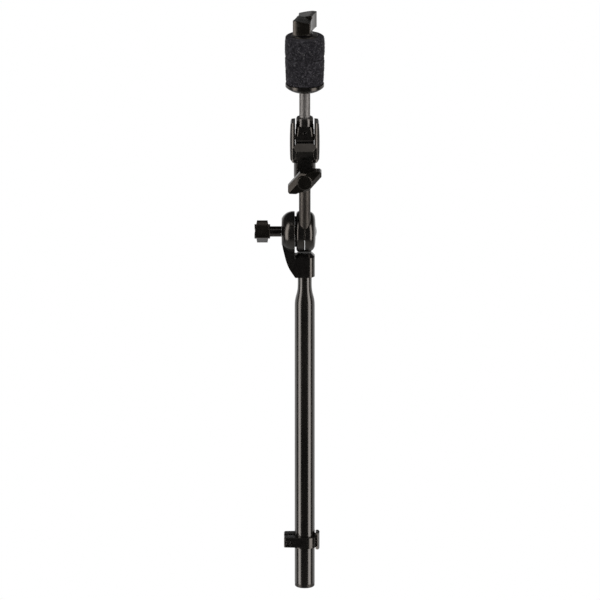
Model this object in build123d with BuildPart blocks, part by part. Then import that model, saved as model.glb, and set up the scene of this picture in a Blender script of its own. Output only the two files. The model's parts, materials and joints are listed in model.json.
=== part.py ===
from build123d import *
from math import cos, radians, sin
import os

# Upper section of a drum-kit cymbal stand. Millimetres, +Z up.
# Origin: centre of the main tube's lower end. -Y is the side of the boom tube and its wing nut.

os.makedirs("parts", exist_ok=True)

# ---- driving dimensions ----
# main tube, 7/8 inch
tube_r = 11.1
tube_wall = 1.6
plug_r = 10.9
plug_low = -2.2
plug_flange = 2.0
mark_z = 43.4  # shallow line rolled round the tube: how far it goes into the section below
mark_width = 0.8
mark_depth = 0.25
swage_z = 322.0
neck_z = 347.0
neck_r = 7.7
neck_top = 379.8

# memory lock
lock_z = (44.5, 57.2)
lock_bore_r = tube_r + 0.05
lock_r = 14.0
jaw_z = 46.0
jaw_reach = 22.9
jaw_half = 12.5
jaw_slot = 5.0
lock_bolt_x = -18.0
lock_bolt_z = 51.6
tab_z = (42.0, 60.4)
tab_r = 16.4
tab_half_angle = 27

# tilter base
socket_z = (357.4, 384.0)
socket_corner = 8.0
socket_top_chamfer = 4.2
pivot_z = 407.6
cheek_r = 22.5
cheek_x = (-25.4, -10.9)
roll_pin_r = 2.0
roll_pin_z = 369.0

# boom clamp, turning on the M8 clamp bolt
clamp_r = 22.5
inner_x = (-9.2, -0.2)
outer_x = (0.2, 11.6)
bolt_r = 4.0
bolt_end_x = -52.0
bolt_hole_r = 4.05
bolt_head_r = 7.1
bolt_seat_x = 9.6
square_neck = 8.0
seat_r = 6.4  # counterbore for the washer under the left wing nut
seat_x = -24.0
clamp_washer_thickness = 1.8

# boom tube, 1/2 inch, offset in front of the clamp bolt
boom_y = -14.0
boom_r = 6.35
boom_wall = 1.5
boom_z = (403.9, 490.0)
bush_r = (6.40, 6.95)
bush_z = (403.7, 415.4)
clamp_bore_r = 7.0
clamp_bore_floor = 403.4

# upper tilter
yoke_r = 12.0
yoke_z = (472.0, 498.0)
fork_z = (493.6, 538.8)
fork_depth = 10.0
fork_corner = 6.5
fork_floor = 508.0
gap_half = 10.45
tilt_z = 520.5
tilt_pin_r = 3.0
yoke_pin_z = 488.0
stud_z = 479.0
stud_r = 3.0
stud_y = (-20.6, -47.0)
lever_face = boom_y - 16.5
tongue_y = (boom_y - 12.4, boom_y - 14.8)
drum_r = 9.2
drum_half = 10.2
barrel_r = 9.8
barrel_half_depth = 9.1
barrel_top = 533.8
ferrule_z = (534.0, 543.2)
set_screw_z = 527.6

# cymbal rod and its stack
rod_r = 6.0
rod_z = (525.0, 576.0)
thread_r = 4.0
thread_top = 653.0
seat_rim_r = 21.2
seat_z = (572.5, 578.4, 582.4)
sleeve_r = (4.1, 6.2)
felt_bore_r = 6.5
lower_felt_z = (582.6, 611.9)
lower_felt_r = (20.4, 21.8)
upper_felt_z = (612.1, 636.2)
upper_felt_r = 21.5
washer_z = (636.4, 638.0)
washer_r = 14.3

# wing nuts: a bar across a short hub
wing_length = 44.0
wing_end_width = 20.2
wing_waist = 16.4
wing_thickness = 17.2
wing_thin_edge = 2.9
grip_bore_r = 5.5  # the steel boss that each plastic wing is moulded on
grip_boss_length = 13.8
left_wing_x = -38.0
left_wing_tilt = 24.4
front_wing_y = -37.0
front_wing_thickness = 14.0
front_wing_bevel = 5.0
front_hub_r = 8.4
front_hub_rise = 0.8
front_boss_r = 8.6
top_wing_z = 641.6
top_wing_turn = -10.0


through = 60.0  # length of a cutter that goes right through a piece

# ---- main tube: straight, then swaged down to a neck ----
inner_r = tube_r - tube_wall
neck_inner_r = neck_r - tube_wall
swage_step = (neck_z - swage_z) / 2
with BuildPart() as main_tube:
    with BuildSketch(Plane.XZ):
        with BuildLine():
            Polyline(
                (inner_r, swage_z),
                (inner_r, plug_flange),
                (tube_r, plug_flange),
                (tube_r, mark_z),
                (tube_r - mark_depth, mark_z),
                (tube_r - mark_depth, mark_z + mark_width),
                (tube_r, mark_z + mark_width),
                (tube_r, swage_z),
            )
            Bezier(
                (tube_r, swage_z),
                (tube_r, swage_z + swage_step),
                (neck_r, neck_z - swage_step),
                (neck_r, neck_z),
            )
            Polyline(
                (neck_r, neck_z), (neck_r, neck_top), (neck_inner_r, neck_top), (neck_inner_r, neck_z)
            )
            Bezier(
                (neck_inner_r, neck_z),
                (neck_inner_r, neck_z - swage_step),
                (inner_r, swage_z + swage_step),
                (inner_r, swage_z),
            )
        make_face()
    revolve(axis=Axis.Z)
    with Locations(Location((0, 0, roll_pin_z), (90, 0, 0))):
        Cylinder(
            roll_pin_r,
            2 * neck_r,
            align=(Align.CENTER, Align.CENTER, Align.MAX),
            mode=Mode.SUBTRACT,
        )
main_tube.part.label = "main_tube"
export_step(main_tube.part, "parts/main_tube.step")

# ---- end plug in the tube's lower end ----
with BuildPart() as tube_end_plug:
    with Locations((0, 0, plug_low)):
        Cylinder(plug_r, plug_flange - plug_low, align=(Align.CENTER, Align.CENTER, Align.MIN))
    chamfer(tube_end_plug.faces().sort_by(Axis.Z)[0].edges(), 0.7)
    with Locations((0, 0, plug_flange)):
        Cylinder(inner_r - 0.03, 12, align=(Align.CENTER, Align.CENTER, Align.MIN))
    with Locations((0, 0, plug_flange + 1)):
        Cylinder(inner_r - 2, 11, align=(Align.CENTER, Align.CENTER, Align.MIN), mode=Mode.SUBTRACT)
tube_end_plug.part.label = "tube_end_plug"
export_step(tube_end_plug.part, "parts/tube_end_plug.step")

# ---- memory lock: a split band with two jaws, drawn together by a key bolt ----
jaw_height = lock_z[1] - jaw_z
with BuildPart() as memory_lock:
    with BuildSketch(Plane.XY.offset(lock_z[0])):
        Circle(lock_r)
    extrude(amount=lock_z[1] - lock_z[0])
    with BuildSketch(Plane.XY.offset(jaw_z)):
        with BuildLine():
            Polyline(
                (-jaw_reach, -jaw_half),
                (-1.2, -lock_r + 0.06),
                (-1.2, lock_r - 0.06),
                (-jaw_reach, jaw_half),
                (-jaw_reach, -jaw_half),
            )
        make_face()
    extrude(amount=jaw_height)
    fillet(memory_lock.edges().filter_by(Axis.Z).group_by(Axis.X)[0], 2.0)
    jaw_top = memory_lock.faces().filter_by(Axis.Z).group_by(Axis.Z)[-1]
    chamfer(jaw_top.edges().filter_by(GeomType.LINE), 0.8)
    with BuildSketch(Plane.XY.offset(tab_z[0])):
        Circle(tab_r)
        Circle(lock_r - 0.5, mode=Mode.SUBTRACT)
        with BuildLine():
            edge = tab_r * 2
            Polyline(
                (0, 0),
                Vector(edge, 0).rotate(Axis.Z, tab_half_angle),
                Vector(edge, 0).rotate(Axis.Z, -tab_half_angle),
                (0, 0),
            )
        make_face(mode=Mode.INTERSECT)
    extrude(amount=tab_z[1] - tab_z[0])
    with BuildSketch(Plane.XY.offset(tab_z[0])):
        Circle(lock_bore_r)
        with Locations((-jaw_reach / 2, 0)):
            Rectangle(jaw_reach + 1, jaw_slot)
    extrude(amount=tab_z[1] - tab_z[0], mode=Mode.SUBTRACT)
    with Locations(Location((lock_bolt_x, 0, lock_bolt_z), (90, 0, 0))):
        Cylinder(2.55, 4 * jaw_half, mode=Mode.SUBTRACT)
    with Locations(Location((lock_bolt_x, -jaw_half, lock_bolt_z), (90, 0, 0))):
        Cylinder(3.9, 2 * 3.5, mode=Mode.SUBTRACT)
    with Locations((lock_bolt_x, jaw_half, lock_bolt_z)):
        Box(7.6, 2 * 3.5, 7.6, mode=Mode.SUBTRACT)
memory_lock.part.label = "memory_lock"
export_step(memory_lock.part, "parts/memory_lock.step")

# ---- key bolt: square head for a drum key, sunk in the front jaw ----
bolt_plane = Plane(origin=(lock_bolt_x, -jaw_half + 3.4, lock_bolt_z), x_dir=(1, 0, 0), z_dir=(0, 1, 0))
with BuildPart() as memory_lock_bolt:
    with BuildSketch(bolt_plane):
        Circle(3.6)
    extrude(amount=-1.0)
    with BuildSketch(bolt_plane.offset(-1.0)):
        Rectangle(5.2, 5.2)
    extrude(amount=-3.4)
    chamfer(memory_lock_bolt.faces().sort_by(Axis.Y)[0].edges(), 0.5)
    with BuildSketch(bolt_plane):
        Circle(2.5)
    extrude(amount=2 * jaw_half - 5.0)
memory_lock_bolt.part.label = "memory_lock_bolt"
export_step(memory_lock_bolt.part, "parts/memory_lock_bolt.step")

# ---- square nut let into the back jaw ----
with BuildPart() as memory_lock_nut:
    with Locations((lock_bolt_x, jaw_half - 3.4, lock_bolt_z)):
        Box(7.4, 3.2, 7.4, align=(Align.CENTER, Align.MIN, Align.CENTER))
    with Locations(Location((lock_bolt_x, jaw_half, lock_bolt_z), (90, 0, 0))):
        Cylinder(2.56, 20, mode=Mode.SUBTRACT)
memory_lock_nut.part.label = "memory_lock_nut"
export_step(memory_lock_nut.part, "parts/memory_lock_nut.step")

# ---- tilter base: socket on the neck, curved leg, round cheek ----
leg_left = [(-10.4, socket_z[0]), (-18.1, 370.1), (-22.9, 386.3), (-25.0, 400.0)]
with BuildPart() as tilter_base:
    with BuildSketch(Plane.XY.offset(socket_z[0])):
        RectangleRounded(2 * tube_r, 2 * tube_r, socket_corner)
    extrude(amount=socket_z[1] - socket_z[0])
    chamfer(tilter_base.faces().sort_by(Axis.Z)[-1].edges(), socket_top_chamfer)
    with BuildSketch(Plane.XZ):
        with BuildLine():
            Spline(*leg_left, tangents=[(-0.55, 0.83), (0, 1)])
            Polyline(
                leg_left[-1],
                (leg_left[-1][0], pivot_z),
                (cheek_x[1], pivot_z),
                (cheek_x[1], socket_z[1] - socket_top_chamfer),
                (0, socket_z[1] - socket_top_chamfer),
                (0, socket_z[0]),
                leg_left[0],
            )
        make_face()
    extrude(amount=tube_r, both=True)
    with BuildSketch(Plane.XZ):
        with BuildLine():
            Polyline(
                (cheek_x[1], pivot_z),
                (cheek_x[1], pivot_z + cheek_r - 0.6),
                (cheek_x[1] - 0.6, pivot_z + cheek_r),
                (-13.4, pivot_z + cheek_r),
            )
            ThreePointArc(
                (-13.4, pivot_z + cheek_r), (-20.9, pivot_z + 19.8), (cheek_x[0], pivot_z + 14.4)
            )
            Polyline(
                (cheek_x[0], pivot_z + 14.4),
                (cheek_x[0], pivot_z),
                (cheek_x[1], pivot_z),
            )
        make_face()
    revolve(axis=Axis((0, 0, pivot_z), (1, 0, 0)))
    with Locations(Location((0, 0, pivot_z), (0, 90, 0))):
        Cylinder(bolt_hole_r, through, mode=Mode.SUBTRACT)
    with Locations(Location((seat_x, 0, pivot_z), (0, 90, 0))):
        Cylinder(seat_r, 5, align=(Align.CENTER, Align.CENTER, Align.MAX), mode=Mode.SUBTRACT)
    with Locations((0, 0, socket_z[0])):
        Cylinder(
            neck_r + 0.02,
            neck_top + 0.2 - socket_z[0],
            align=(Align.CENTER, Align.CENTER, Align.MIN),
            mode=Mode.SUBTRACT,
        )
    with Locations(Location((0, -neck_r, roll_pin_z), (90, 0, 0))):
        Cylinder(roll_pin_r, 30, align=(Align.CENTER, Align.CENTER, Align.MAX), mode=Mode.SUBTRACT)
tilter_base.part.label = "tilter_base"
export_step(tilter_base.part, "parts/tilter_base.step")

# ---- roll pin that holds the base on the tube, driven in from the back ----
with BuildPart() as base_roll_pin:
    with BuildSketch(Plane.XZ.offset(-tube_r + 0.3)):
        with Locations((0, roll_pin_z)):
            Circle(roll_pin_r - 0.03)
            Circle(roll_pin_r - 0.8, mode=Mode.SUBTRACT)
        with Locations((0, roll_pin_z + roll_pin_r)):
            Rectangle(0.5, roll_pin_r, mode=Mode.SUBTRACT)
    extrude(amount=tube_r + neck_r - tube_wall - 0.8)
base_roll_pin.part.label = "base_roll_pin"
export_step(base_roll_pin.part, "parts/base_roll_pin.step")

# ---- friction washer between the cheek and the clamp ----
with BuildPart() as friction_washer:
    with BuildSketch(Plane.YZ.offset(cheek_x[1] + 0.05)):
        with Locations((0, pivot_z)):
            Circle(17.0)
            Circle(bolt_hole_r, mode=Mode.SUBTRACT)
    extrude(amount=inner_x[0] - cheek_x[1] - 0.05)
friction_washer.part.label = "friction_washer"
export_step(friction_washer.part, "parts/friction_washer.step")

# ---- boom clamp: two half discs that grip the boom tube ----
with BuildPart() as clamp_inner_half:
    with BuildSketch(Plane.YZ.offset(inner_x[0])):
        with Locations((0, pivot_z)):
            Circle(clamp_r)
    extrude(amount=inner_x[1] - inner_x[0])
    fillet(clamp_inner_half.edges().filter_by(GeomType.CIRCLE).group_by(Axis.X)[0], 3.0)
    chamfer(clamp_inner_half.edges().filter_by(GeomType.CIRCLE).group_by(Axis.X)[-1], 0.5)
    with Locations(Location((0, 0, pivot_z), (0, 90, 0))):
        Cylinder(bolt_r + 0.03, through, mode=Mode.SUBTRACT)
    with Locations((0, boom_y, clamp_bore_floor)):
        Cylinder(clamp_bore_r, through, align=(Align.CENTER, Align.CENTER, Align.MIN), mode=Mode.SUBTRACT)
clamp_inner_half.part.label = "clamp_inner_half"
export_step(clamp_inner_half.part, "parts/clamp_inner_half.step")

with BuildPart() as clamp_outer_half:
    with BuildSketch(Plane.XZ):
        with BuildLine():
            Polyline(
                (outer_x[0] + 0.4, pivot_z + clamp_r),
                (outer_x[0], pivot_z + clamp_r - 0.4),
                (outer_x[0], pivot_z),
                (outer_x[1] + 0.5, pivot_z),
            )
            ThreePointArc(
                (outer_x[1] + 0.5, pivot_z),
                (outer_x[1] + 0.35, pivot_z + 8.5),
                (outer_x[1] - 0.4, pivot_z + 16.2),
            )
            ThreePointArc(
                (outer_x[1] - 0.4, pivot_z + 16.2), (8.9, pivot_z + 20.2), (4.2, pivot_z + clamp_r)
            )
            Line((4.2, pivot_z + clamp_r), (outer_x[0] + 0.4, pivot_z + clamp_r))
        make_face()
    revolve(axis=Axis((0, 0, pivot_z), (1, 0, 0)))
    with Locations(Location((bolt_seat_x, 0, pivot_z), (0, 90, 0))):
        Cylinder(
            bolt_head_r + 0.15,
            10,
            align=(Align.CENTER, Align.CENTER, Align.MIN),
            mode=Mode.SUBTRACT,
        )
    with Locations((outer_x[0], 0, pivot_z)):
        Box(30, square_neck + 0.1, square_neck + 0.1, mode=Mode.SUBTRACT)
    with Locations((0, boom_y, clamp_bore_floor)):
        Cylinder(clamp_bore_r, through, align=(Align.CENTER, Align.CENTER, Align.MIN), mode=Mode.SUBTRACT)
clamp_outer_half.part.label = "clamp_outer_half"
export_step(clamp_outer_half.part, "parts/clamp_outer_half.step")

# ---- clamp bolt: low round head and a square neck in the outer half ----
with BuildPart() as clamp_bolt:
    with BuildSketch(Plane.XZ):
        with BuildLine():
            Polyline(
                (11.5, pivot_z + bolt_head_r),
                (bolt_seat_x + 0.05, pivot_z + bolt_head_r),
                (bolt_seat_x + 0.05, pivot_z + bolt_r),
                (bolt_end_x, pivot_z + bolt_r),
                (bolt_end_x, pivot_z),
                (13.0, pivot_z),
            )
            ThreePointArc(
                (13.0, pivot_z), (12.6, pivot_z + bolt_head_r * 0.55), (11.5, pivot_z + bolt_head_r)
            )
        make_face()
    revolve(axis=Axis((0, 0, pivot_z), (1, 0, 0)))
    with Locations((bolt_seat_x, 0, pivot_z)):
        Box(4.5, square_neck, square_neck, align=(Align.MAX, Align.CENTER, Align.CENTER))
clamp_bolt.part.label = "clamp_bolt"
export_step(clamp_bolt.part, "parts/clamp_bolt.step")

# ---- washer in the cheek's counterbore, under the left wing nut ----
with BuildPart() as clamp_washer:
    with BuildSketch(Plane.YZ.offset(seat_x - 0.05)):
        with Locations((0, pivot_z)):
            Circle(seat_r - 0.3)
            Circle(bolt_r + 0.05, mode=Mode.SUBTRACT)
    extrude(amount=-clamp_washer_thickness)
clamp_washer.part.label = "clamp_washer"
export_step(clamp_washer.part, "parts/clamp_washer.step")


# ---- T-shaped wing nuts ----
def wing_bar():
    """A bar along Y, waisted over its hub, each wing thinner towards one long edge; the bolt axis is Z."""
    half = wing_length / 2
    end = wing_end_width / 2
    waist = wing_waist / 2
    thin = wing_thin_edge
    thin_from = -5.0
    with BuildPart() as bar:
        with BuildSketch():
            with BuildLine():
                ThreePointArc((end, -half + 2), (waist, 0), (end, half - 2))
                ThreePointArc((end, half - 2), (0, half), (-end, half - 2))
                ThreePointArc((-end, half - 2), (-waist, 0), (-end, -half + 2))
                ThreePointArc((-end, -half + 2), (0, -half), (end, -half + 2))
            make_face()
        extrude(amount=wing_thickness)
        for side in (1, -1):
            with BuildSketch(Plane.XZ):
                with BuildLine():
                    Polyline(
                        (side * end, wing_thickness),
                        (side * (end + 1), wing_thickness),
                        (side * (end + 1), wing_thickness - thin - 0.4),
                        (side * end, wing_thickness - thin),
                        (side * thin_from, wing_thickness),
                        (side * end, wing_thickness),
                    )
                make_face()
                with BuildLine():
                    Polyline(
                        (side * end, 0),
                        (side * (end + 1), 0),
                        (side * (end + 1), thin + 0.4),
                        (side * end, thin),
                        (side * thin_from, 0),
                        (side * end, 0),
                    )
                make_face()
            extrude(amount=side * (half + 1), mode=Mode.SUBTRACT)
        fillet(bar.edges().filter_by(Axis.Z), 1.5)
        fillet(bar.faces().sort_by(Axis.Z)[-1].edges(), 0.7)
        fillet(bar.faces().sort_by(Axis.Z)[0].edges(), 0.7)
        Cylinder(
            grip_bore_r,
            wing_thickness - 3.0,
            align=(Align.CENTER, Align.CENTER, Align.MIN),
            mode=Mode.SUBTRACT,
        )
    return bar.part


grip = wing_bar()

# left wing nut: its near wing points up towards -Y
tilt = radians(left_wing_tilt)
left_wing_plane = Plane(
    origin=(left_wing_x, 0, pivot_z), x_dir=(0, sin(tilt), cos(tilt)), z_dir=(-1, 0, 0)
)
left_grip = left_wing_plane * grip
with BuildPart() as clamp_wing_nut:
    add(left_grip)
clamp_wing_nut.part.label = "clamp_wing_nut"
export_step(clamp_wing_nut.part, "parts/clamp_wing_nut.step")

# steel sleeve of the left wing nut, reaching to the washer
sleeve_start_x = seat_x - clamp_washer_thickness - 0.1
with BuildPart() as clamp_nut_sleeve:
    with BuildSketch(Plane.YZ.offset(sleeve_start_x)):
        with Locations((0, pivot_z)):
            Circle(grip_bore_r + 0.25)
    extrude(amount=left_wing_x - sleeve_start_x)
    chamfer(clamp_nut_sleeve.faces().sort_by(Axis.X)[-1].edges(), 0.4)
    with BuildSketch(Plane.YZ.offset(left_wing_x)):
        with Locations((0, pivot_z)):
            Circle(grip_bore_r - 0.03)
    extrude(amount=-grip_boss_length)
    with Locations(Location((0, 0, pivot_z), (0, 90, 0))):
        Cylinder(bolt_hole_r, -2 * bolt_end_x + 1, mode=Mode.SUBTRACT)
clamp_nut_sleeve.part.label = "clamp_nut_sleeve"
export_step(clamp_nut_sleeve.part, "parts/clamp_nut_sleeve.step")

# top wing nut
top_wing_plane = Plane(
    origin=(0, boom_y, top_wing_z), x_dir=Vector(1, 0, 0).rotate(Axis.Z, top_wing_turn), z_dir=(0, 0, 1)
)
top_grip = top_wing_plane * grip
with BuildPart() as top_wing_nut:
    add(top_grip)
top_wing_nut.part.label = "top_wing_nut"
export_step(top_wing_nut.part, "parts/top_wing_nut.step")

# conical steel boss of the top wing nut
with BuildPart() as top_nut_boss:
    with BuildSketch(Plane.XZ.offset(-boom_y)):
        with BuildLine():
            Polyline(
                (thread_r + 0.05, washer_z[1] + 0.1),
                (8.6, washer_z[1] + 0.1),
                (9.0, washer_z[1] + 0.6),
                (6.6, top_wing_z),
                (grip_bore_r - 0.03, top_wing_z),
                (grip_bore_r - 0.03, top_wing_z + grip_boss_length),
                (thread_r + 0.05, top_wing_z + grip_boss_length),
                (thread_r + 0.05, washer_z[1] + 0.1),
            )
        make_face()
    revolve(axis=Axis((0, boom_y, 0), (0, 0, 1)))
top_nut_boss.part.label = "top_nut_boss"
export_step(top_nut_boss.part, "parts/top_nut_boss.step")

# ---- split nylon bush round the boom tube ----
with BuildPart() as boom_bush:
    with BuildSketch(Plane.XY.offset(bush_z[0])):
        with Locations((0, boom_y)):
            Circle(bush_r[1])
            Circle(bush_r[0], mode=Mode.SUBTRACT)
        with Locations((0, boom_y + bush_r[0])):
            Rectangle(1.0, 3.0, mode=Mode.SUBTRACT)
    extrude(amount=bush_z[1] - bush_z[0])
boom_bush.part.label = "boom_bush"
export_step(boom_bush.part, "parts/boom_bush.step")

# ---- boom tube ----
with BuildPart() as boom_tube:
    with BuildSketch(Plane.XY.offset(boom_z[0])):
        with Locations((0, boom_y)):
            Circle(boom_r)
            Circle(boom_r - boom_wall, mode=Mode.SUBTRACT)
    extrude(amount=boom_z[1] - boom_z[0])
    with Locations(Location((0, boom_y, yoke_pin_z), (0, 90, 0))):
        Cylinder(1.53, 4 * boom_r, mode=Mode.SUBTRACT)
boom_tube.part.label = "boom_tube"
export_step(boom_tube.part, "parts/boom_tube.step")

# ---- tilter yoke: round neck on the boom tube, fork above it ----
with BuildPart() as tilter_yoke:
    with BuildSketch(Plane.XY.offset(yoke_z[0])):
        with Locations((0, boom_y)):
            Circle(yoke_r)
    extrude(amount=yoke_z[1] - yoke_z[0])
    chamfer(tilter_yoke.faces().sort_by(Axis.Z)[-1].edges(), 3.0)
    chamfer(tilter_yoke.faces().sort_by(Axis.Z)[0].edges(), 3.2)
    with BuildSketch(Plane.XZ.offset(-boom_y)):
        with BuildLine():
            Polyline((0, fork_z[0]), (13.4, fork_z[0]), (15.9, fork_z[0] + 3.4))
            ThreePointArc((15.9, fork_z[0] + 3.4), (16.3, tilt_z), (15.6, fork_z[1] - 2.0))
            Polyline(
                (15.6, fork_z[1] - 2.0),
                (14.6, fork_z[1]),
                (gap_half, fork_z[1]),
                (gap_half, fork_floor),
                (0, fork_floor),
                (0, fork_z[0]),
            )
        make_face()
        mirror(about=Plane.YZ)
    extrude(amount=fork_depth, both=True)
    with BuildSketch(Plane.XY.offset(yoke_z[0])):
        with Locations((0, boom_y)):
            RectangleRounded(33.0, 2 * fork_depth, fork_corner)
            Circle(yoke_r)
    extrude(amount=fork_z[1] - yoke_z[0], mode=Mode.INTERSECT)
    with Locations((0, boom_y, yoke_z[0])):
        Cylinder(
            boom_r + 0.02,
            boom_z[1] + 0.2 - yoke_z[0],
            align=(Align.CENTER, Align.CENTER, Align.MIN),
            mode=Mode.SUBTRACT,
        )
    with Locations(Location((0, boom_y, tilt_z), (0, 90, 0))):
        Cylinder(tilt_pin_r, through, mode=Mode.SUBTRACT)
    with Locations(Location((0, boom_y, yoke_pin_z), (0, 90, 0))):
        Cylinder(1.53, through, mode=Mode.SUBTRACT)
    with Locations(Location((0, stud_y[0], stud_z), (90, 0, 0))):
        Cylinder(stud_r, 20, align=(Align.CENTER, Align.CENTER, Align.MIN), mode=Mode.SUBTRACT)
tilter_yoke.part.label = "tilter_yoke"
export_step(tilter_yoke.part, "parts/tilter_yoke.step")

# ---- pin through the yoke's neck and the boom tube ----
with BuildPart() as yoke_pin:
    with BuildSketch(Plane.YZ):
        with Locations((boom_y, yoke_pin_z)):
            Circle(1.5)
    extrude(amount=yoke_r - 0.3, both=True)
yoke_pin.part.label = "yoke_pin"
export_step(yoke_pin.part, "parts/yoke_pin.step")

# ---- pivot pin of the rod holder, pressed in the fork ----
with BuildPart() as pivot_pin:
    with BuildSketch(Plane.YZ):
        with Locations((boom_y, tilt_z)):
            Circle(tilt_pin_r - 0.02)
    extrude(amount=15.9, both=True)
    chamfer(pivot_pin.edges(), 0.4)
pivot_pin.part.label = "pivot_pin"
export_step(pivot_pin.part, "parts/pivot_pin.step")

# ---- brake lever: block across the fork, tongue under the wing nut ----
block_back = boom_y - fork_depth - 0.15
block_half = 13.5
block_face_half = 9.2
block_top = 516.2
block_nose = (508.3, 501.6)
shoe_half = 9.9
with BuildPart() as brake_lever:
    with BuildSketch(Plane.YZ):
        with BuildLine():
            Polyline(
                (block_back, block_top),
                (lever_face, block_nose[0]),
                (lever_face + 0.8, block_nose[1]),
                (tongue_y[1], 498.4),
                (block_back, 498.4),
                (block_back, block_top),
            )
        make_face()
    extrude(amount=block_half, both=True)
    with BuildSketch(Plane.XY.offset(490)):
        with BuildLine():
            Polyline(
                (-block_face_half, lever_face),
                (block_face_half, lever_face),
                (block_half, lever_face + block_half - block_face_half),
                (block_half, boom_y),
                (-block_half, boom_y),
                (-block_half, lever_face + block_half - block_face_half),
                (-block_face_half, lever_face),
            )
        make_face()
    extrude(amount=40, mode=Mode.INTERSECT)
    with BuildSketch(Plane.XZ):
        with BuildLine():
            Polyline(
                (-block_face_half, block_top),
                (block_face_half, block_top),
                (block_half, block_top - 6.0),
                (block_half, 490),
                (-block_half, 490),
                (-block_half, block_top - 6.0),
                (-block_face_half, block_top),
            )
        make_face()
    extrude(amount=60, mode=Mode.INTERSECT)
    with BuildSketch(Plane.YZ):
        with BuildLine():
            Polyline(
                (block_back - 1.0, 512.4),
                (boom_y - 7.4, 512.4),
                (boom_y - 7.4, fork_floor + 0.2),
                (block_back - 1.0, fork_floor + 0.2),
                (block_back - 1.0, 512.4),
            )
        make_face()
    extrude(amount=shoe_half, both=True)
    with BuildSketch(Plane.XZ.offset(-tongue_y[0])):
        with Locations((0, stud_z)):
            Circle(8.5)
        with Locations((0, (stud_z + 499) / 2)):
            Rectangle(17.0, 499 - stud_z)
    extrude(amount=tongue_y[0] - tongue_y[1])
    with Locations(Location((0, tongue_y[0] + 1, stud_z), (90, 0, 0))):
        Cylinder(stud_r + 0.3, 10, align=(Align.CENTER, Align.CENTER, Align.MIN), mode=Mode.SUBTRACT)
brake_lever.part.label = "brake_lever"
export_step(brake_lever.part, "parts/brake_lever.step")

# ---- brake pad between the lever and the holder's drum ----
with BuildPart() as brake_pad:
    with BuildSketch(Plane.YZ):
        with BuildLine():
            Polyline(
                (boom_y - 7.35, 512.2),
                (boom_y - 7.35, 508.3),
                (boom_y - 2.5, 508.3),
                (boom_y - 2.5, 512.2),
                (boom_y - 7.35, 512.2),
            )
        make_face()
        with Locations((boom_y, tilt_z)):
            Circle(drum_r + 0.35, mode=Mode.SUBTRACT)
    extrude(amount=10.0, both=True)
brake_pad.part.label = "brake_pad"
export_step(brake_pad.part, "parts/brake_pad.step")

# ---- stud, washer and wing nut of the upper tilter ----
with BuildPart() as tilter_stud:
    with BuildSketch(Plane.XZ.offset(-stud_y[0])):
        with Locations((0, stud_z)):
            Circle(stud_r - 0.02)
    extrude(amount=stud_y[0] - stud_y[1])
    chamfer(tilter_stud.edges(), 0.4)
tilter_stud.part.label = "tilter_stud"
export_step(tilter_stud.part, "parts/tilter_stud.step")

with BuildPart() as tilter_washer:
    with BuildSketch(Plane.XZ.offset(-tongue_y[1] + 0.02)):
        with Locations((0, stud_z)):
            Circle(8.2)
            Circle(stud_r + 0.15, mode=Mode.SUBTRACT)
    extrude(amount=1.0)
tilter_washer.part.label = "tilter_washer"
export_step(tilter_washer.part, "parts/tilter_washer.step")

# S-shaped grip: two slanted wings, point-symmetric about the stud
front_wing_plane = Plane(origin=(0, front_wing_y, stud_z), x_dir=(1, 0, 0), z_dir=(0, -1, 0))
with BuildPart() as tilter_wing_nut:
    with BuildSketch(front_wing_plane):
        with BuildLine():
            Polyline(
                (18.4, 5.4),
                (18.4, 11.0),
                (16.6, 12.6),
                (9.5, 12.8),
                (4.6, 10.8),
                (-5.2, 9.8),
                (-18.4, -5.4),
                (-18.4, -11.0),
                (-16.6, -12.6),
                (-9.5, -12.8),
                (-4.6, -10.8),
                (5.2, -9.8),
                (18.4, 5.4),
            )
        make_face()
    extrude(amount=front_wing_thickness)
    front_face = tilter_wing_nut.faces().sort_by(Axis.Y)[0]
    chamfer(front_face.edges().sort_by(Edge.length)[-2:], front_wing_bevel)
    fillet(tilter_wing_nut.edges().filter_by(Axis.Y), 1.2)
    chamfer(tilter_wing_nut.faces().sort_by(Axis.Y)[-1].edges(), 0.8)
    with BuildSketch(front_wing_plane.offset(front_wing_thickness - front_wing_bevel)):
        Circle(front_hub_r)
    extrude(amount=front_wing_bevel + front_hub_rise, taper=4)
    fillet(tilter_wing_nut.faces().sort_by(Axis.Y)[0].edges(), 0.8)
    with Locations(front_wing_plane):
        Cylinder(
            grip_bore_r - 0.5,
            front_wing_thickness - 3.0,
            align=(Align.CENTER, Align.CENTER, Align.MIN),
            mode=Mode.SUBTRACT,
        )
tilter_wing_nut.part.label = "tilter_wing_nut"
export_step(tilter_wing_nut.part, "parts/tilter_wing_nut.step")

with BuildPart() as tilter_nut_boss:
    with BuildSketch(front_wing_plane):
        Circle(front_boss_r)
    extrude(amount=front_wing_y - tongue_y[1] + 1.1)
    chamfer(tilter_nut_boss.edges(), 0.5)
    with BuildSketch(front_wing_plane):
        Circle(grip_bore_r - 0.53)
    extrude(amount=front_wing_thickness - 3.2)
    with Locations(front_wing_plane):
        Cylinder(stud_r + 0.03, through, mode=Mode.SUBTRACT)
tilter_nut_boss.part.label = "tilter_nut_boss"
export_step(tilter_nut_boss.part, "parts/tilter_nut_boss.step")

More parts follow.
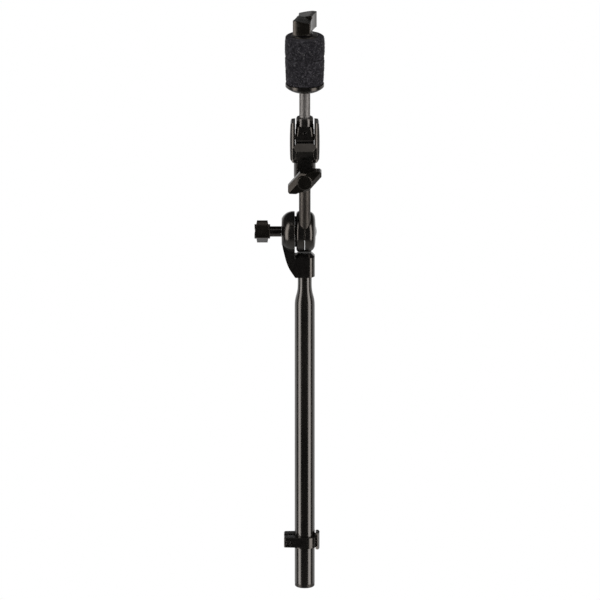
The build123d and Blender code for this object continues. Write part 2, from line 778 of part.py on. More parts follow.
# ---- rod holder: brake drum between the prongs, barrel above it ----
with BuildPart() as rod_holder:
    with BuildSketch(Plane.YZ):
        with Locations((boom_y, tilt_z)):
            Circle(drum_r)
    extrude(amount=drum_half, both=True)
    chamfer(rod_holder.edges().filter_by(GeomType.CIRCLE), 0.5)
    with BuildSketch(Plane.XY.offset(tilt_z)):
        with Locations((0, boom_y)):
            RectangleRounded(2 * drum_half - 0.2, 2 * barrel_half_depth, 3.0)
    with BuildSketch(Plane.XY.offset(barrel_top)):
        with Locations((0, boom_y)):
            RectangleRounded(2 * barrel_r, 2 * barrel_half_depth, 5.6)
    loft()
    with Locations((0, boom_y, rod_z[0] - 0.2)):
        Cylinder(
            rod_r + 0.02, through, align=(Align.CENTER, Align.CENTER, Align.MIN), mode=Mode.SUBTRACT
        )
    with Locations(Location((0, boom_y, tilt_z), (0, 90, 0))):
        Cylinder(tilt_pin_r + 0.03, through, mode=Mode.SUBTRACT)
    with Locations(Location((0, boom_y - rod_r + 1, set_screw_z), (90, 0, 0))):
        Cylinder(2.0, 20, align=(Align.CENTER, Align.CENTER, Align.MIN), mode=Mode.SUBTRACT)
rod_holder.part.label = "rod_holder"
export_step(rod_holder.part, "parts/rod_holder.step")

# ---- set screw that holds the rod ----
with BuildPart() as rod_set_screw:
    with BuildSketch(Plane.XZ.offset(-boom_y + rod_r + 0.03)):
        with Locations((0, set_screw_z)):
            Circle(1.97)
    extrude(amount=2.3)
    with BuildSketch(Plane.XZ.offset(-boom_y + rod_r + 2.33)):
        with Locations((0, set_screw_z)):
            RegularPolygon(1.15, 6)
    extrude(amount=-1.4, mode=Mode.SUBTRACT)
rod_set_screw.part.label = "rod_set_screw"
export_step(rod_set_screw.part, "parts/rod_set_screw.step")

# ---- ferrule: ring with a dished mouth round the rod ----
with BuildPart() as rod_ferrule:
    with BuildSketch(Plane.XZ.offset(-boom_y)):
        with BuildLine():
            Polyline(
                (rod_r + 0.02, ferrule_z[0]),
                (8.8, ferrule_z[0]),
                (9.3, ferrule_z[0] + 0.5),
                (9.3, ferrule_z[1] - 1.0),
                (8.8, ferrule_z[1]),
                (8.0, ferrule_z[1]),
                (rod_r + 0.02, ferrule_z[1] - 3.4),
                (rod_r + 0.02, ferrule_z[0]),
            )
        make_face()
    revolve(axis=Axis((0, boom_y, 0), (0, 0, 1)))
rod_ferrule.part.label = "rod_ferrule"
export_step(rod_ferrule.part, "parts/rod_ferrule.step")

# ---- cymbal rod: plain shank, M8 thread above the seat ----
with BuildPart() as cymbal_rod:
    with Locations((0, boom_y, rod_z[0])):
        Cylinder(rod_r, rod_z[1] - rod_z[0], align=(Align.CENTER, Align.CENTER, Align.MIN))
    chamfer(cymbal_rod.edges(), 0.5)
    with Locations((0, boom_y, rod_z[1])):
        Cylinder(thread_r, thread_top - rod_z[1], align=(Align.CENTER, Align.CENTER, Align.MIN))
    chamfer(cymbal_rod.faces().sort_by(Axis.Z)[-1].edges(), 1.0)
cymbal_rod.part.label = "cymbal_rod"
export_step(cymbal_rod.part, "parts/cymbal_rod.step")

# ---- cymbal seat: dished plate screwed down on the rod's shoulder ----
with BuildPart() as cymbal_seat:
    with BuildSketch(Plane.XZ.offset(-boom_y)):
        with BuildLine():
            Polyline(
                (thread_r + 0.02, rod_z[1]),
                (rod_r + 0.02, rod_z[1]),
                (rod_r + 0.02, seat_z[0]),
                (7.9, seat_z[0]),
            )
            ThreePointArc(
                (7.9, seat_z[0]), (15.2, seat_z[0] + 2.0), (seat_rim_r - 0.6, seat_z[1] - 0.4)
            )
            Polyline(
                (seat_rim_r - 0.6, seat_z[1] - 0.4),
                (seat_rim_r, seat_z[1] + 0.3),
                (seat_rim_r, seat_z[2] - 0.5),
                (seat_rim_r - 0.5, seat_z[2]),
                (thread_r + 0.02, seat_z[2]),
                (thread_r + 0.02, rod_z[1]),
            )
        make_face()
    revolve(axis=Axis((0, boom_y, 0), (0, 0, 1)))
cymbal_seat.part.label = "cymbal_seat"
export_step(cymbal_seat.part, "parts/cymbal_seat.step")

# ---- nylon sleeve that the cymbal's hole sits on ----
with BuildPart() as cymbal_sleeve:
    with BuildSketch(Plane.XY.offset(seat_z[2] + 0.05)):
        with Locations((0, boom_y)):
            Circle(sleeve_r[1])
            Circle(sleeve_r[0], mode=Mode.SUBTRACT)
    extrude(amount=upper_felt_z[1] - seat_z[2] - 0.1)
cymbal_sleeve.part.label = "cymbal_sleeve"
export_step(cymbal_sleeve.part, "parts/cymbal_sleeve.step")

# ---- two tall felts ----
with BuildPart() as lower_felt:
    with BuildSketch(Plane.XY.offset(lower_felt_z[0])):
        with Locations((0, boom_y)):
            Circle(lower_felt_r[0])
    with BuildSketch(Plane.XY.offset(lower_felt_z[1])):
        with Locations((0, boom_y)):
            Circle(lower_felt_r[1])
    loft()
    with Locations((0, boom_y, lower_felt_z[0])):
        Cylinder(felt_bore_r, 2 * through, mode=Mode.SUBTRACT)
lower_felt.part.label = "lower_felt"
export_step(lower_felt.part, "parts/lower_felt.step")

with BuildPart() as upper_felt:
    with BuildSketch(Plane.XY.offset(upper_felt_z[0])):
        with Locations((0, boom_y)):
            Circle(upper_felt_r)
    extrude(amount=upper_felt_z[1] - upper_felt_z[0])
    fillet(upper_felt.faces().sort_by(Axis.Z)[-1].edges(), 3.0)
    with Locations((0, boom_y, upper_felt_z[0])):
        Cylinder(felt_bore_r, 2 * through, mode=Mode.SUBTRACT)
upper_felt.part.label = "upper_felt"
export_step(upper_felt.part, "parts/upper_felt.step")

# ---- washer on the felts ----
with BuildPart() as top_washer:
    with BuildSketch(Plane.XY.offset(washer_z[0])):
        with Locations((0, boom_y)):
            Circle(washer_r)
            Circle(thread_r + 0.3, mode=Mode.SUBTRACT)
    extrude(amount=washer_z[1] - washer_z[0])
    fillet(top_washer.faces().sort_by(Axis.Z)[-1].edges().sort_by(SortBy.RADIUS)[-1], 0.8)
top_washer.part.label = "top_washer"
export_step(top_washer.part, "parts/top_washer.step")
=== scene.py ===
import json
import math
import random

import bpy
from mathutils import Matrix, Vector, noise


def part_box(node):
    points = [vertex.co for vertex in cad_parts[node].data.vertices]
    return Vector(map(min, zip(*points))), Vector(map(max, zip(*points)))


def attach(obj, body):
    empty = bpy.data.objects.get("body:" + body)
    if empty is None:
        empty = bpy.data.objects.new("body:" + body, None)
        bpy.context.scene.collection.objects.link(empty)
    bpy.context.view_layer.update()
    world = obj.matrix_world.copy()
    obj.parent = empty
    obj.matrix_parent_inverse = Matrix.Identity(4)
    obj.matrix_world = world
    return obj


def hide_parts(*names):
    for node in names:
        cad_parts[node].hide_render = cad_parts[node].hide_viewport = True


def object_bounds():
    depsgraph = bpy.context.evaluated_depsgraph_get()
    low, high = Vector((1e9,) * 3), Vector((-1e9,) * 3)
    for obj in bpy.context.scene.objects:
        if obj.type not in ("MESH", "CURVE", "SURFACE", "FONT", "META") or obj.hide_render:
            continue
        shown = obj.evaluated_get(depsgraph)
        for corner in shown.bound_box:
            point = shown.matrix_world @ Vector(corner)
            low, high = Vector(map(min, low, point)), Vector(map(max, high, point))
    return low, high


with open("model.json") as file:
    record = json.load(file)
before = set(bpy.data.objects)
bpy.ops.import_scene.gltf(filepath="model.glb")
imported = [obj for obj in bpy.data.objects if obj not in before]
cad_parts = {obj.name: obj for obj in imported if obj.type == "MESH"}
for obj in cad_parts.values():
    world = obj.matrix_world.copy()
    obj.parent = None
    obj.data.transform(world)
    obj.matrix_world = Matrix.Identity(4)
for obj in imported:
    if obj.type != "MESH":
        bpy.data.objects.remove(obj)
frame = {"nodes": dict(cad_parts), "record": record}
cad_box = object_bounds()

MM = 0.001
NODES = frame["nodes"]
SLOT_OF = {s["node"]: s["material_slot"] for s in frame["record"]["subparts"]}


# ---- camera, floor and light ----
ELEVATION = math.radians(17.5)
VIEW_DISTANCE = 20.0  # metres: a long lens, so that the picture is nearly without perspective
VIEW_WIDTH = 0.660
SENSOR = 36.0
AIM = Vector((-0.0052, 0.0, 0.3286))
FLOOR_HALF = 6.0
FLOOR_DROP = 0.30  # the floor lies this far below the object, so that it throws back only soft light


def make_camera():
    data = bpy.data.cameras.new("camera")
    data.sensor_width = SENSOR
    data.lens = SENSOR * VIEW_DISTANCE / VIEW_WIDTH
    data.clip_end = 200.0
    camera = bpy.data.objects.new("camera", data)
    bpy.context.scene.collection.objects.link(camera)
    back = Vector((0.0, -math.cos(ELEVATION), math.sin(ELEVATION)))
    camera.location = AIM + back * VIEW_DISTANCE
    camera.rotation_mode = "QUATERNION"
    camera.rotation_quaternion = (-back).to_track_quat("-Z", "Y")
    bpy.context.scene.camera = camera


def make_floor():
    low = cad_box[0]
    half = FLOOR_HALF
    corners = [(-half, -half), (half, -half), (half, half), (-half, half)]
    mesh = bpy.data.meshes.new("floor")
    mesh.from_pydata([(x, y, low[2] - FLOOR_DROP) for x, y in corners], [], [(0, 1, 2, 3)])
    floor = bpy.data.objects.new("floor", mesh)
    bpy.context.scene.collection.objects.link(floor)
    paint = bpy.data.materials.new("floor_paper")
    paint.use_nodes = True
    tree = paint.node_tree
    shader = tree.nodes["Principled BSDF"]
    shader.inputs["Base Color"].default_value = (0.8, 0.8, 0.8, 1.0)
    shader.inputs["Roughness"].default_value = 0.9
    white = tree.nodes.new("ShaderNodeEmission")
    pick = tree.nodes.new("ShaderNodeMixShader")
    tree.links.new(tree.nodes.new("ShaderNodeLightPath").outputs["Is Camera Ray"], pick.inputs[0])
    tree.links.new(shader.outputs[0], pick.inputs[1])
    tree.links.new(white.outputs[0], pick.inputs[2])
    tree.links.new(pick.outputs[0], tree.nodes["Material Output"].inputs["Surface"])
    mesh.materials.append(paint)
    floor.visible_glossy = False  # reflections see the softboxes alone


# softboxes that stand round the object, as (azimuth, half width, strength); azimuths are in degrees from
# the camera's side
SOFTBOXES = [
    (-62.0, 13.5, 4.6),
    (57.0, 14.5, 4.4),
]
SOFTBOX_EDGE = 8.0
SOFTBOX_LOW, SOFTBOX_HIGH = -0.50, 0.72  # as the sine of their elevation
SOFTBOX_FADE = 0.08
BACKDROP_FROM = 100.0  # the white backdrop reaches round to this azimuth on both sides
BACKDROP = 0.75
BACKDROP_TOP = (0.33, 0.05)  # it fades out between these, as the sine of the elevation
OVERHEAD_AZIMUTH, OVERHEAD_HALF = -6.0, 34.0  # a softbox on a boom, high in front of the object
OVERHEAD_LOW, OVERHEAD_HIGH = 0.80, 0.89  # as the sine of its elevation
OVERHEAD_EDGE = 6.0
OVERHEAD_FADE = 0.015
OVERHEAD = 1.0
TABLE_FROM, TABLE_FULL = -0.42, -0.75  # the white table that the object stands over
TABLE = 0.42
AMBIENT = 0.035


def smooth_step(tree, value, start, end):
    node = tree.nodes.new("ShaderNodeMapRange")
    node.interpolation_type = "SMOOTHSTEP"
    node.inputs["From Min"].default_value = start
    node.inputs["From Max"].default_value = end
    tree.links.new(value, node.inputs["Value"])
    return node.outputs["Result"]


def math_node(tree, operation, a, b=None):
    node = tree.nodes.new("ShaderNodeMath")
    node.operation = operation
    for socket, value in zip(node.inputs, (a, b)):
        if value is None:
            continue
        if isinstance(value, (int, float)):
            socket.default_value = value
        else:
            tree.links.new(value, socket)
    return node.outputs[0]


def soft_band(tree, value, low, high, edge):
    """1 between low and high, fading to 0 over twice the edge at both ends."""
    rise = smooth_step(tree, value, low - edge, low + edge)
    fall = smooth_step(tree, value, high + edge, high - edge)
    return math_node(tree, "MULTIPLY", rise, fall)


def near_azimuth(tree, azimuth, centre, half, edge):
    """1 within half a width of an azimuth, in degrees, fading to 0 over twice the edge."""
    away = math_node(tree, "ABSOLUTE", math_node(tree, "SUBTRACT", azimuth, math.radians(centre)))
    return smooth_step(tree, away, math.radians(half + edge), math.radians(half - edge))


def make_world():
    world = bpy.data.worlds.new("studio")
    bpy.context.scene.world = world
    world.use_nodes = True
    tree = world.node_tree
    tree.nodes.clear()
    where = tree.nodes.new("ShaderNodeTexCoord").outputs["Generated"]
    parts = tree.nodes.new("ShaderNodeSeparateXYZ")
    tree.links.new(where, parts.inputs[0])
    toward = math_node(tree, "MULTIPLY", parts.outputs["Y"], -1.0)
    azimuth = math_node(tree, "ARCTAN2", parts.outputs["X"], toward)
    height = parts.outputs["Z"]  # the sine of the elevation
    total = None
    for centre, half, strength in SOFTBOXES:
        inside = near_azimuth(tree, azimuth, centre, half, SOFTBOX_EDGE / 2)
        lit = math_node(tree, "MULTIPLY", inside, strength)
        total = lit if total is None else math_node(tree, "ADD", total, lit)
    behind = smooth_step(
        tree,
        math_node(tree, "ABSOLUTE", azimuth),
        math.radians(BACKDROP_FROM - SOFTBOX_EDGE / 2),
        math.radians(BACKDROP_FROM + SOFTBOX_EDGE / 2),
    )
    behind = math_node(
        tree, "MULTIPLY", behind, smooth_step(tree, height, *BACKDROP_TOP)
    )
    total = math_node(tree, "ADD", total, math_node(tree, "MULTIPLY", behind, BACKDROP))
    upright = soft_band(tree, height, SOFTBOX_LOW, SOFTBOX_HIGH, SOFTBOX_FADE)
    boxed = math_node(tree, "MULTIPLY", total, upright)
    inside = near_azimuth(tree, azimuth, OVERHEAD_AZIMUTH, OVERHEAD_HALF, OVERHEAD_EDGE)
    high_up = soft_band(tree, height, OVERHEAD_LOW, OVERHEAD_HIGH, OVERHEAD_FADE)
    patch = math_node(tree, "MULTIPLY", high_up, inside)
    overhead = math_node(tree, "MULTIPLY", patch, OVERHEAD)
    underneath = smooth_step(tree, height, TABLE_FROM, TABLE_FULL)
    table = math_node(tree, "MULTIPLY", underneath, TABLE)
    studio = math_node(tree, "ADD", boxed, table)
    studio = math_node(tree, "ADD", studio, overhead)
    studio = math_node(tree, "ADD", studio, AMBIENT)
    camera_ray = tree.nodes.new("ShaderNodeLightPath").outputs["Is Camera Ray"]
    pick = tree.nodes.new("ShaderNodeMix")
    pick.data_type = "FLOAT"
    tree.links.new(camera_ray, pick.inputs["Factor"])
    tree.links.new(studio, pick.inputs["A"])
    pick.inputs["B"].default_value = 1.0
    background = tree.nodes.new("ShaderNodeBackground")
    background.inputs["Color"].default_value = (1.0, 1.0, 1.0, 1.0)
    tree.links.new(pick.outputs["Result"], background.inputs["Strength"])
    output = tree.nodes.new("ShaderNodeOutputWorld")
    tree.links.new(background.outputs[0], output.inputs[0])


# ---- materials ----
def base_material(name, colour, roughness, metallic=0.0):
    material = bpy.data.materials.new(name)
    material.use_nodes = True
    tree = material.node_tree
    shader = tree.nodes["Principled BSDF"]
    shader.inputs["Base Color"].default_value = (*colour, 1.0)
    shader.inputs["Roughness"].default_value = roughness
    shader.inputs["Metallic"].default_value = metallic
    return material, tree, shader


def place_of(tree, stretch=(1.0, 1.0, 1.0)):
    coordinates = tree.nodes.new("ShaderNodeTexCoord")
    mapping = tree.nodes.new("ShaderNodeMapping")
    mapping.inputs["Scale"].default_value = stretch
    tree.links.new(coordinates.outputs["Object"], mapping.inputs["Vector"])
    return mapping.outputs["Vector"]


def noise_of(tree, scale, detail=3.0, roughness=0.5, stretch=(1.0, 1.0, 1.0)):
    node = tree.nodes.new("ShaderNodeTexNoise")
    node.inputs["Scale"].default_value = scale
    node.inputs["Detail"].default_value = detail
    node.inputs["Roughness"].default_value = roughness
    tree.links.new(place_of(tree, stretch), node.inputs["Vector"])
    return node.outputs["Fac"]


def ramp(tree, value, stops):
    node = tree.nodes.new("ShaderNodeValToRGB")
    elements = node.color_ramp.elements
    while len(elements) < len(stops):
        elements.new(0.5)
    for element, (position, colour) in zip(elements, stops):
        element.position = position
        element.color = (*colour, 1.0) if isinstance(colour, tuple) else (colour, colour, colour, 1.0)
    tree.links.new(value, node.inputs["Fac"])
    return node.outputs["Color"]


def mix_colour(tree, factor, a, b):
    node = tree.nodes.new("ShaderNodeMix")
    node.data_type = "RGBA"
    for socket, value in zip((node.inputs[0], node.inputs[6], node.inputs[7]), (factor, a, b)):
        if isinstance(value, tuple):
            socket.default_value = (*value, 1.0)
        elif isinstance(value, (int, float)):
            socket.default_value = value
        else:
            tree.links.new(value, socket)
    return node.outputs[2]


def weighted(tree, a, share_a, b, share_b):
    a = math_node(tree, "MULTIPLY", a, share_a)
    b = math_node(tree, "MULTIPLY", b, share_b)
    return math_node(tree, "ADD", a, b)


def rounded_edges(tree, radius):
    """(rounded normal, mask that is 1 along sharp edges)"""
    bevel = tree.nodes.new("ShaderNodeBevel")
    bevel.samples = 6
    bevel.inputs["Radius"].default_value = radius
    geometry = tree.nodes.new("ShaderNodeNewGeometry")
    dot = tree.nodes.new("ShaderNodeVectorMath")
    dot.operation = "DOT_PRODUCT"
    tree.links.new(bevel.outputs["Normal"], dot.inputs[0])
    tree.links.new(geometry.outputs["Normal"], dot.inputs[1])
    mask = smooth_step(tree, dot.outputs["Value"], 0.995, 0.90)
    return bevel.outputs["Normal"], mask


def bump(tree, height, distance, strength, normal=None):
    node = tree.nodes.new("ShaderNodeBump")
    node.inputs["Distance"].default_value = distance
    node.inputs["Strength"].default_value = strength
    tree.links.new(height, node.inputs["Height"])
    if normal is not None:
        tree.links.new(normal, node.inputs["Normal"])
    return node.outputs["Normal"]


def black_enamel(name):
    """Gloss stove enamel on a zinc casting: orange peel, faint haze, edges worn thin."""
    material, tree, shader = base_material(name, (0.012, 0.011, 0.011), 0.16)
    normal, edge = rounded_edges(tree, 0.5 * MM)
    chips = ramp(tree, noise_of(tree, 900, 4.0), [(0.50, 0.0), (0.66, 1.0)])
    worn = math_node(tree, "MULTIPLY", edge, chips)
    worn = math_node(tree, "MULTIPLY", worn, 0.55)
    paint = ramp(
        tree, noise_of(tree, 160, 5.0), [(0.35, (0.0045, 0.0042, 0.004)), (0.7, (0.009, 0.0085, 0.008))]
    )
    colour = mix_colour(tree, worn, paint, (0.085, 0.078, 0.072))
    tree.links.new(colour, shader.inputs["Base Color"])
    haze = noise_of(tree, 70, 4.0)
    rough = ramp(tree, haze, [(0.3, 0.13), (0.75, 0.26)])
    tree.links.new(rough, shader.inputs["Roughness"])
    peel = noise_of(tree, 620, 2.0)
    shaded = bump(tree, peel, 0.05 * MM, 0.30, normal)
    tree.links.new(shaded, shader.inputs["Normal"])
    shader.inputs["Specular Tint"].default_value = (1.0, 0.88, 0.77, 1.0)
    shader.inputs["IOR"].default_value = 1.55
    shader.inputs["Coat Weight"].default_value = 0.12
    shader.inputs["Coat Roughness"].default_value = 0.08
    return material


def black_nickel(name):
    """Polished tube under black plate: faint draw lines along its length, rubbed patches and dust."""
    material, tree, shader = base_material(name, (0.02, 0.019, 0.018), 0.18, 0.0)
    lines = noise_of(tree, 900, 3.0, stretch=(1.0, 1.0, 0.012))
    rings = noise_of(tree, 500, 2.0, stretch=(0.02, 0.02, 1.0))
    rubbed = noise_of(tree, 26, 4.0, stretch=(1.0, 1.0, 0.35))
    colour = ramp(tree, rubbed, [(0.35, (0.004, 0.0037, 0.0034)), (0.72, (0.010, 0.0088, 0.0076))])
    tree.links.new(colour, shader.inputs["Base Color"])
    marks = weighted(tree, lines, 0.6, rubbed, 0.4)
    rough = ramp(tree, marks, [(0.3, 0.17), (0.7, 0.30)])
    tree.links.new(rough, shader.inputs["Roughness"])
    grain = math_node(tree, "ADD", lines, math_node(tree, "MULTIPLY", rings, 0.5))
    tree.links.new(bump(tree, grain, 0.002 * MM, 0.4), shader.inputs["Normal"])
    shader.inputs["IOR"].default_value = 1.6
    shader.inputs["Specular Tint"].default_value = (1.0, 0.90, 0.81, 1.0)
    shader.inputs["Coat Weight"].default_value = 0.4
    shader.inputs["Coat Roughness"].default_value = 0.10
    return material


def satin_tube(name):
    """Satin dark plate with a brown cast: brushed round the tube, lighter where the clamp has rubbed it."""
    material, tree, shader = base_material(name, (0.10, 0.088, 0.078), 0.42, 0.9)
    brushed = noise_of(tree, 1200, 3.0, stretch=(0.05, 0.05, 1.0))
    patches = noise_of(tree, 45, 4.0)
    colour = ramp(tree, patches, [(0.3, (0.055, 0.047, 0.041)), (0.75, (0.088, 0.077, 0.067))])
    tree.links.new(colour, shader.inputs["Base Color"])
    rough = ramp(tree, brushed, [(0.3, 0.42), (0.7, 0.58)])
    tree.links.new(rough, shader.inputs["Roughness"])
    tree.links.new(bump(tree, brushed, 0.01 * MM, 0.5), shader.inputs["Normal"])
    return material


def satin_steel(name):
    """Turned steel rod: fine rings round it and a few scratches along it."""
    material, tree, shader = base_material(name, (0.26, 0.24, 0.235), 0.50, 1.0)
    rings = noise_of(tree, 2200, 3.0, stretch=(0.03, 0.03, 1.0))
    scratches = noise_of(tree, 500, 2.0, stretch=(1.0, 1.0, 0.02))
    tone = weighted(tree, rings, 0.5, scratches, 0.5)
    colour = ramp(tree, tone, [(0.35, (0.17, 0.157, 0.149)), (0.65, (0.25, 0.233, 0.222))])
    tree.links.new(colour, shader.inputs["Base Color"])
    rough = ramp(tree, tone, [(0.3, 0.52), (0.7, 0.66)])
    tree.links.new(rough, shader.inputs["Roughness"])
    tree.links.new(bump(tree, tone, 0.01 * MM, 0.6), shader.inputs["Normal"])
    return material


def black_steel(name):
    """Black plated steel: glossier and more metallic than the enamel, with bright worn edges."""
    material, tree, shader = base_material(name, (0.05, 0.048, 0.047), 0.22, 0.85)
    normal, edge = rounded_edges(tree, 0.25 * MM)
    chips = ramp(tree, noise_of(tree, 1500, 4.0), [(0.42, 0.0), (0.62, 1.0)])
    worn = math_node(tree, "MULTIPLY", math_node(tree, "MULTIPLY", edge, chips), 0.6)
    plate = ramp(
        tree, noise_of(tree, 300, 4.0), [(0.3, (0.038, 0.034, 0.031)), (0.7, (0.080, 0.073, 0.067))]
    )
    tree.links.new(mix_colour(tree, worn, plate, (0.30, 0.29, 0.28)), shader.inputs["Base Color"])
    rough = ramp(tree, noise_of(tree, 420, 3.0), [(0.3, 0.15), (0.7, 0.30)])
    tree.links.new(rough, shader.inputs["Roughness"])
    tree.links.new(bump(tree, noise_of(tree, 1800, 2.0), 0.01 * MM, 0.4, normal), shader.inputs["Normal"])
    return material


def bright_zinc(name):
    """Bright zinc plate on small fasteners: faint spangle, edges polished."""
    material, tree, shader = base_material(name, (0.52, 0.52, 0.53), 0.3, 1.0)
    normal, edge = rounded_edges(tree, 0.2 * MM)
    spangle = noise_of(tree, 700, 3.0)
    colour = ramp(tree, spangle, [(0.3, (0.42, 0.42, 0.44)), (0.7, (0.60, 0.60, 0.58))])
    tree.links.new(mix_colour(tree, edge, colour, (0.72, 0.72, 0.70)), shader.inputs["Base Color"])
    tree.links.new(ramp(tree, spangle, [(0.3, 0.22), (0.7, 0.40)]), shader.inputs["Roughness"])
    tree.links.new(bump(tree, spangle, 0.01 * MM, 0.4, normal), shader.inputs["Normal"])
    return material


def moulded_black(name, tint, grain, roughness, edge_radius, relief=0.03 * MM):
    """Black moulded plastic: fine spark-eroded grain, rubbed smoother and greyer on its edges."""
    material, tree, shader = base_material(name, tint, roughness)
    shader.inputs["Specular Tint"].default_value = (1.0, 0.87, 0.75, 1.0)
    normal, edge = rounded_edges(tree, edge_radius)
    patch = noise_of(tree, 120, 5.0)
    dark = tuple(c * 0.75 for c in tint)
    light = tuple(c * 1.5 for c in tint)
    base = ramp(tree, patch, [(0.3, dark), (0.75, light)])
    rub = math_node(tree, "MULTIPLY", edge, ramp(tree, noise_of(tree, 260, 3.0), [(0.3, 0.25), (0.7, 0.9)]))
    tree.links.new(mix_colour(tree, rub, base, tuple(c * 3.0 for c in tint)), shader.inputs["Base Color"])
    rough = ramp(tree, patch, [(0.3, roughness - 0.07), (0.75, roughness + 0.08)])
    tree.links.new(rough, shader.inputs["Roughness"])
    tree.links.new(bump(tree, noise_of(tree, grain, 2.0), relief, 0.35, normal), shader.inputs["Normal"])
    return material


def felt_cloth(name):
    """Pressed charcoal wool: matted fibres, painted shade in the hollows and a painted highlight on the
    crests of its relief, pale lint caught on it, a soft sheen.
    """
    material, tree, shader = base_material(name, (0.03, 0.029, 0.032), 0.95)
    matted = noise_of(tree, 1050, 5.0, 0.75)
    clumps = noise_of(tree, 420, 4.0, 0.65)
    tone = weighted(tree, matted, 0.55, clumps, 0.45)
    # Painted shade and painted highlight: the wool colour follows the same noises as the bump below, so its
    # darkest colour sits in the relief's hollows and its palest colour on the crests.
    hollow_shade, wool_tone, crest_highlight = (0.0025, 0.0023, 0.003), (0.014, 0.0132, 0.016), (0.085, 0.080, 0.089)
    wool = ramp(tree, tone, [(0.40, hollow_shade), (0.50, wool_tone), (0.60, crest_highlight)])
    lint_cells = tree.nodes.new("ShaderNodeTexVoronoi")
    lint_cells.inputs["Scale"].default_value = 240
    tree.links.new(place_of(tree, (1.0, 1.0, 1.0)), lint_cells.inputs["Vector"])
    speck = smooth_step(tree, lint_cells.outputs["Distance"], 0.16, 0.06)
    rare = ramp(tree, noise_of(tree, 95, 2.0), [(0.54, 0.0), (0.60, 1.0)])
    lint = math_node(tree, "MULTIPLY", speck, rare)
    tree.links.new(mix_colour(tree, lint, wool, (0.20, 0.19, 0.19)), shader.inputs["Base Color"])
    height = math_node(tree, "ADD", matted, math_node(tree, "MULTIPLY", clumps, 0.8))
    tree.links.new(bump(tree, height, 0.35 * MM, 0.8), shader.inputs["Normal"])
    shader.inputs["Sheen Weight"].default_value = 0.16
    shader.inputs["Sheen Roughness"].default_value = 0.5
    shader.inputs["Sheen Tint"].default_value = (0.55, 0.52, 0.56, 1.0)
    shader.inputs["Specular IOR Level"].default_value = 0.15
    return material


def lint_thread(name):
    """Pale lint caught on the felt: off-white cotton with darker, dustier stretches."""
    material, tree, shader = base_material(name, (0.3, 0.29, 0.29), 0.95)
    dust = ramp(tree, noise_of(tree, 900, 3.0), [(0.35, (0.10, 0.095, 0.095)), (0.65, (0.42, 0.41, 0.40))])
    tree.links.new(dust, shader.inputs["Base Color"])
    tree.links.new(bump(tree, noise_of(tree, 4000, 2.0), 0.05 * MM, 0.5), shader.inputs["Normal"])
    return material


def brake_lining(name):
    """Pressed friction lining: dark binder with brown and brassy specks."""
    material, tree, shader = base_material(name, (0.05, 0.045, 0.04), 0.85)
    specks = noise_of(tree, 1600, 3.0)
    binder, fibre, brass = (0.02, 0.018, 0.016), (0.06, 0.052, 0.045), (0.18, 0.14, 0.09)
    colour = ramp(tree, specks, [(0.35, binder), (0.62, fibre), (0.75, brass)])
    tree.links.new(colour, shader.inputs["Base Color"])
    tree.links.new(bump(tree, specks, 0.05 * MM, 0.6), shader.inputs["Normal"])
    return material


def make_materials():
    return {
        "black_nickel_tube": black_nickel("black_nickel"),
        "black_enamel": black_enamel("enamel"),
        "boom_satin": satin_tube("boom_plate"),
        "steel_satin": satin_steel("steel"),
        "steel_black": black_steel("black_steel"),
        "zinc_fastener": bright_zinc("zinc"),
        "wing_plastic": moulded_black(
            "wing_moulding", (0.0046, 0.0042, 0.0035), 900, 0.24, 0.9 * MM, relief=0.012 * MM
        ),
        "seat_plastic": moulded_black("seat_moulding", (0.005, 0.0048, 0.005), 2400, 0.27, 0.5 * MM),
        "nylon_black": moulded_black("nylon", (0.008, 0.008, 0.0083), 3000, 0.40, 0.3 * MM),
        "felt_charcoal": felt_cloth("felt"),
        "brake_lining": brake_lining("lining"),
    }


def paint_nodes(materials):
    for name, obj in NODES.items():
        obj.data.materials.clear()
        obj.data.materials.append(materials[SLOT_OF[name]])


# ---- felts ----
FELT_AROUND = 220
FIBRE_SIDES = 3
FIBRE_STEPS = 3
FIBRES = 2600
FIBRE_SINK = 0.05 * MM
HAIR_BELLY = 0.30 * MM
LINT_THICKNESS = 3.4  # against a fibre's
LINT_RISE = 0.03 * MM
FELT_BORE = 6.5 * MM
FELT_BELLY = 0.35 * MM
LINT_THREADS = 60


def felt_outline(low, high, r_low, r_high, bore, corner):
    """(radius, height) points round a felt's section, closed, starting in its bore at the bottom."""
    points = [(bore, low)]
    for i in range(7):
        a = i / 6 * math.pi / 2
        points.append((r_low - corner + corner * math.sin(a), low + corner - corner * math.cos(a)))
    steps = 46
    for i in range(1, steps):
        t = i / steps
        belly = FELT_BELLY * math.sin(math.pi * t)
        points.append((r_low + (r_high - r_low) * t + belly, low + corner + (high - low - 2 * corner) * t))
    for i in range(7):
        a = i / 6 * math.pi / 2
        points.append((r_high - corner + corner * math.cos(a), high - corner + corner * math.sin(a)))
    points.append((bore, high))
    return points


def felt_relief(place, seed):
    """How far the felt's surface stands out at a point, in metres."""
    offset = Vector((seed * 7.3, seed * 3.1, seed * 5.7))
    coarse = noise.noise(place * 75 + offset)
    lumps = noise.noise(place * 260 + offset)
    fine = noise.noise(place * 900 + offset)
    return (0.30 * coarse + 0.28 * lumps + 0.16 * fine) * MM


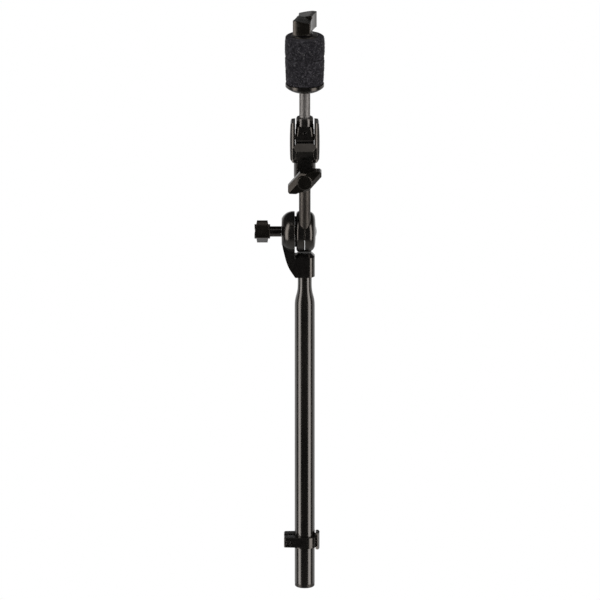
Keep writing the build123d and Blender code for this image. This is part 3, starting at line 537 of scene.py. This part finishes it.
def add_fibre(rng, vertices, faces, root, out, along, thickness=1.0):
    """A short curled hair, as a thin three-sided tube that narrows to its tip."""
    length = rng.uniform(0.7, 2.6) * MM
    thick = rng.uniform(0.028, 0.050) * MM * thickness
    lean = along * rng.uniform(-1.0, 1.0) + Vector((0, 0, rng.uniform(-1.0, 1.0)))
    curl = along * rng.uniform(-0.8, 0.8) + Vector((0, 0, rng.uniform(-0.9, 0.9)))
    lift = rng.uniform(0.10, 0.55)
    first = len(vertices)
    for step in range(FIBRE_STEPS + 1):
        t = step / FIBRE_STEPS
        rise = out * (lift * length * t * (1.4 - 0.7 * t))
        centre = root + rise + lean * (length * t * 0.8) + curl * (length * t * t * 0.6)
        radius = thick * (1.0 - 0.75 * t)
        for side in range(FIBRE_SIDES):
            a = side / FIBRE_SIDES * math.tau
            across = along.cross(out) * (radius * math.sin(a))
            vertices.append(centre + out * (radius * math.cos(a)) + across)
    for step in range(FIBRE_STEPS):
        for side in range(FIBRE_SIDES):
            a = first + step * FIBRE_SIDES + side
            b = first + step * FIBRE_SIDES + (side + 1) % FIBRE_SIDES
            faces.append((a, b, b + FIBRE_SIDES, a + FIBRE_SIDES))
    top = first + FIBRE_STEPS * FIBRE_SIDES
    faces.append(tuple(top + side for side in range(FIBRE_SIDES)))
    faces.append(tuple(first + side for side in reversed(range(FIBRE_SIDES))))


def hair_root(box, radii, corner, seed, angle, t, above):
    """(place, outward direction) of a hair's root, at t from the bottom of the felt's wall to its top."""
    low, high = box
    out = Vector((math.cos(angle), math.sin(angle), 0))
    centre = Vector(((low[0] + high[0]) / 2, (low[1] + high[1]) / 2, 0))
    r = radii[0] + (radii[1] - radii[0]) * t + HAIR_BELLY * math.sin(math.pi * t)
    root = centre + out * r + Vector((0, 0, low[2] + corner + (high[2] - low[2] - 2 * corner) * t))
    return root + out * (felt_relief(root, seed) + above), out


def make_felt(name, node, radii, corner, seed, fibres, material, lint):
    low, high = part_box(node)
    centre = Vector(((low[0] + high[0]) / 2, (low[1] + high[1]) / 2, 0))
    bore = FELT_BORE
    outline = felt_outline(low[2], high[2], radii[0], radii[1], bore, corner)
    vertices, faces = [], []
    count = len(outline)
    middle = (low[2] + high[2]) / 2
    for i in range(FELT_AROUND):
        a = i / FELT_AROUND * math.tau
        out = Vector((math.cos(a), math.sin(a), 0))
        for j, (r, z) in enumerate(outline):
            point = centre + out * r + Vector((0, 0, z))
            if 0 < j < count - 1:
                weight = min(1.0, (r - bore) / (6 * MM))
                relief = felt_relief(point, seed) * weight
                flat = min(1.0, abs(z - middle) / ((high[2] - low[2]) / 2))
                point += out * (relief * (1.0 - 0.4 * flat))
            vertices.append(point)
    for i in range(FELT_AROUND):
        k = (i + 1) % FELT_AROUND
        for j in range(count):
            m = (j + 1) % count
            faces.append((i * count + j, k * count + j, k * count + m, i * count + m))
    rng = random.Random(seed)
    for _ in range(fibres):
        angle = rng.uniform(0, math.tau)
        root, out = hair_root((low, high), radii, corner, seed, angle, rng.uniform(0.02, 0.98), -FIBRE_SINK)
        add_fibre(rng, vertices, faces, root, out, Vector((-out.y, out.x, 0)))
    wool_faces = len(faces)
    for _ in range(LINT_THREADS):
        angle = rng.uniform(0, math.tau)
        root, out = hair_root((low, high), radii, corner, seed, angle, rng.uniform(0.08, 0.92), LINT_RISE)
        for _ in range(rng.choice((1, 1, 2, 4))):
            add_fibre(rng, vertices, faces, root, out, Vector((-out.y, out.x, 0)), LINT_THICKNESS)
    mesh = bpy.data.meshes.new(name)
    mesh.from_pydata([tuple(v) for v in vertices], [], faces)
    mesh.polygons.foreach_set("use_smooth", [True] * len(mesh.polygons))
    mesh.materials.append(material)
    mesh.materials.append(lint)
    mesh.polygons.foreach_set("material_index", [int(i >= wool_faces) for i in range(len(faces))])
    mesh.update()
    felt = bpy.data.objects.new(name, mesh)
    bpy.context.scene.collection.objects.link(felt)
    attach(felt, "rod")
    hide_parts(node)
    return felt


make_camera()
make_floor()
make_world()
bpy.context.scene.view_settings.view_transform = "Standard"
materials = make_materials()
paint_nodes(materials)
felt_fibres = FIBRES
wool = materials["felt_charcoal"]
lint = lint_thread("lint")
make_felt("felt_lower", "lower_felt", (20.3 * MM, 21.4 * MM), 0.9 * MM, 11, felt_fibres, wool, lint)
make_felt("felt_upper", "upper_felt", (21.5 * MM, 21.3 * MM), 2.4 * MM, 23, felt_fibres, wool, lint)
